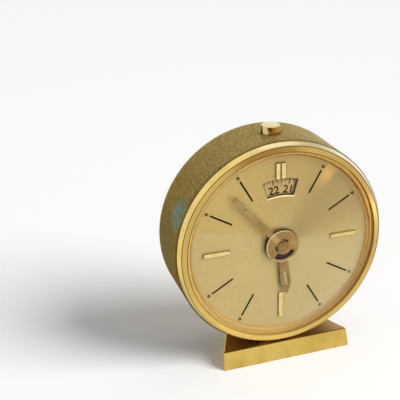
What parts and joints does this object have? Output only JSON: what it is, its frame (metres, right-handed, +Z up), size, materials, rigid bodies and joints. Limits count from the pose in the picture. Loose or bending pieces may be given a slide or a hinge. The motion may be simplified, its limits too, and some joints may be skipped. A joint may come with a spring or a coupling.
{
  "type": "travel alarm clock",
  "caption": "Round wind-up travel alarm clock on a low trapezoid foot, with a disc alarm window, baton hour marks, a domed crystal and a stop button on top.",
  "frame": {"origin": "on the foot's flat underside, straight below the drum's axis", "axes": "+Z up; -Y out of the dial towards the reader; +X to the reader's right; the drum's axis and every arbor run along Y"},
  "size_m": [0.0662, 0.0303, 0.0742],
  "materials": {
    "case_brass": "grained gold plate, matt, lightly tarnished",
    "bezel_gold": "polished gold plate",
    "foot_gold": "polished gold plate",
    "cover_gold": "brushed gold plate",
    "crystal_clear": "clear, polished",
    "dial_champagne": "champagne gilt with a fine sunray brush",
    "index_gold": "polished gold",
    "disc_beige": "matt beige paint",
    "hand_rose": "polished rose gold",
    "washer_black": "satin black",
    "movement_brass": "satin brass",
    "steel": "satin steel",
    "blued_steel": "blued steel"
  },
  "bodies": {
    "case": {"case_band": "case_brass", "bezel": "bezel_gold", "crystal": "crystal_clear", "dial_plate": "dial_champagne", "index_3": "index_gold", "index_6": "index_gold", "index_9": "index_gold", "index_12_left": "index_gold", "index_12_right": "index_gold", "movement_ring": "movement_brass", "front_plate": "movement_brass", "back_plate": "movement_brass", "pillar_1": "movement_brass", "cover_post_1": "movement_brass", "cover_screw_1": "steel", "pillar_2": "movement_brass", "cover_post_2": "movement_brass", "cover_screw_2": "steel", "pillar_3": "movement_brass", "cover_post_3": "movement_brass", "cover_screw_3": "steel", "hairspring": "blued_steel", "balance_cock": "movement_brass", "stop_button_spring": "steel", "stop_button_bridge": "movement_brass", "rear_cover": "cover_gold", "foot": "foot_gold", "foot_screw_1": "steel", "foot_screw_2": "steel"},
    "minute_hands": {"minute_hand": "hand_rose", "cannon_pinion": "steel"},
    "hour_hands": {"hour_hand": "hand_rose", "hour_washer": "washer_black", "hour_wheel": "movement_brass"},
    "minute_wheel": {"minute_wheel": "movement_brass"},
    "hand_setting": {"hand_setting_arbor": "steel", "hand_setting_knob": "movement_brass"},
    "alarm_disc": {"alarm_disc": "disc_beige"},
    "alarm_setting": {"alarm_setting_arbor": "steel", "alarm_setting_knob": "movement_brass"},
    "fourth_wheel": {"fourth_wheel": "movement_brass"},
    "escape_wheel": {"escape_wheel": "steel"},
    "third_wheel": {"third_wheel": "movement_brass"},
    "centre_wheel": {"centre_wheel": "movement_brass"},
    "intermediate_wheel": {"intermediate_wheel": "movement_brass"},
    "time_barrel": {"time_barrel": "movement_brass", "time_mainspring": "blued_steel"},
    "time_winder": {"time_barrel_arbor": "steel", "time_winding_key": "movement_brass"},
    "alarm_barrel": {"alarm_barrel": "movement_brass", "alarm_mainspring": "blued_steel"},
    "alarm_winder": {"alarm_barrel_arbor": "steel", "alarm_winding_key": "movement_brass"},
    "alarm_escape_wheel": {"alarm_escape_wheel": "movement_brass"},
    "pallet_fork": {"pallet_fork": "steel"},
    "balance_wheel": {"balance_wheel": "movement_brass"},
    "regulator": {"regulator_lever": "steel"},
    "alarm_hammer": {"alarm_hammer": "steel"},
    "stop_button": {"stop_button": "bezel_gold"}
  },
  "joints": [
    {"name": "minute_turn", "type": "hinge", "parent": "case", "child": "minute_hands", "pos_m": [0, 0, 0.03855], "axis": [0, 1, 0], "continuous": true},
    {"name": "hour_turn", "type": "hinge", "parent": "case", "child": "hour_hands", "pos_m": [0, 0, 0.03855], "axis": [0, 1, 0], "continuous": true},
    {"name": "minute_wheel_turn", "type": "hinge", "parent": "case", "child": "minute_wheel", "pos_m": [0.00558, 0, 0.03636], "axis": [0, 1, 0], "continuous": true},
    {"name": "hand_setting_turn", "type": "hinge", "parent": "case", "child": "hand_setting", "pos_m": [0.00778, 0, 0.03077], "axis": [0, 1, 0], "continuous": true},
    {"name": "alarm_disc_turn", "type": "hinge", "parent": "case", "child": "alarm_disc", "pos_m": [0, 0, 0.03855], "axis": [0, 1, 0], "continuous": true},
    {"name": "alarm_setting_turn", "type": "hinge", "parent": "case", "child": "alarm_setting", "pos_m": [-0.00778, 0, 0.03077], "axis": [0, 1, 0], "continuous": true},
    {"name": "fourth_turn", "type": "hinge", "parent": "case", "child": "fourth_wheel", "pos_m": [0, 0, 0.02438], "axis": [0, 1, 0], "continuous": true},
    {"name": "escape_turn", "type": "hinge", "parent": "case", "child": "escape_wheel", "pos_m": [-0.00594, 0, 0.02438], "axis": [0, 1, 0], "continuous": true},
    {"name": "third_turn", "type": "hinge", "parent": "case", "child": "third_wheel", "pos_m": [0, 0, 0.03126], "axis": [0, 1, 0], "continuous": true},
    {"name": "centre_turn", "type": "hinge", "parent": "case", "child": "centre_wheel", "pos_m": [0, 0, 0.03855], "axis": [0, 1, 0], "continuous": true},
    {"name": "intermediate_turn", "type": "hinge", "parent": "case", "child": "intermediate_wheel", "pos_m": [0.0054, 0, 0.04445], "axis": [0, 1, 0], "continuous": true},
    {"name": "time_barrel_turn", "type": "hinge", "parent": "case", "child": "time_barrel", "pos_m": [0.01556, 0, 0.04129], "axis": [0, 1, 0], "continuous": true},
    {"name": "time_winding", "type": "hinge", "parent": "case", "child": "time_winder", "pos_m": [0.01556, 0, 0.04129], "axis": [0, 1, 0], "continuous": true},
    {"name": "alarm_barrel_turn", "type": "hinge", "parent": "case", "child": "alarm_barrel", "pos_m": [-0.01556, 0, 0.04129], "axis": [0, 1, 0], "continuous": true},
    {"name": "alarm_winding", "type": "hinge", "parent": "case", "child": "alarm_winder", "pos_m": [-0.01556, 0, 0.04129], "axis": [0, 1, 0], "continuous": true},
    {"name": "alarm_escape_turn", "type": "hinge", "parent": "case", "child": "alarm_escape_wheel", "pos_m": [-0.01024, 0, 0.05051], "axis": [0, 1, 0], "continuous": true},
    {"name": "fork_swing", "type": "hinge", "parent": "case", "child": "pallet_fork", "pos_m": [-0.00994, 0, 0.02438], "axis": [0, 1, 0], "range_deg": [-7, 7]},
    {"name": "balance_swing", "type": "hinge", "parent": "case", "child": "balance_wheel", "pos_m": [-0.01304, 0, 0.02438], "axis": [0, 1, 0], "range_deg": [-140, 140], "stiffness_Nm_per_rad": 0.000002},
    {"name": "regulator_swing", "type": "hinge", "parent": "case", "child": "regulator", "pos_m": [-0.01304, 0, 0.02438], "axis": [0, 1, 0], "range_deg": [-14, 14]},
    {"name": "hammer_swing", "type": "hinge", "parent": "case", "child": "alarm_hammer", "pos_m": [-0.00532, 0, 0.05138], "axis": [0, 1, 0], "range_deg": [0, 12]},
    {"name": "stop_button_press", "type": "slide", "parent": "case", "child": "stop_button", "axis": [0, 0, -1], "range_m": [0, 0.0015], "stiffness_N_per_m": 300, "springref_m": -0.002, "deforming": ["stop_button_spring"]}
  ],
  "couplings": [
    {"joint": "hour_turn", "follows": "minute_turn", "ratio": 0.083333},
    {"joint": "minute_wheel_turn", "follows": "minute_turn", "ratio": -0.33333},
    {"joint": "hand_setting_turn", "follows": "minute_turn", "ratio": 1},
    {"joint": "alarm_setting_turn", "follows": "alarm_disc_turn", "ratio": -5},
    {"joint": "escape_turn", "follows": "fourth_turn", "ratio": -8},
    {"joint": "third_turn", "follows": "fourth_turn", "ratio": -0.13333},
    {"joint": "centre_turn", "follows": "fourth_turn", "ratio": 0.016667},
    {"joint": "intermediate_turn", "follows": "fourth_turn", "ratio": -0.0041667},
    {"joint": "time_barrel_turn", "follows": "fourth_turn", "ratio": 0.00069444},
    {"joint": "alarm_escape_turn", "follows": "alarm_barrel_turn", "ratio": -6}
  ]
}
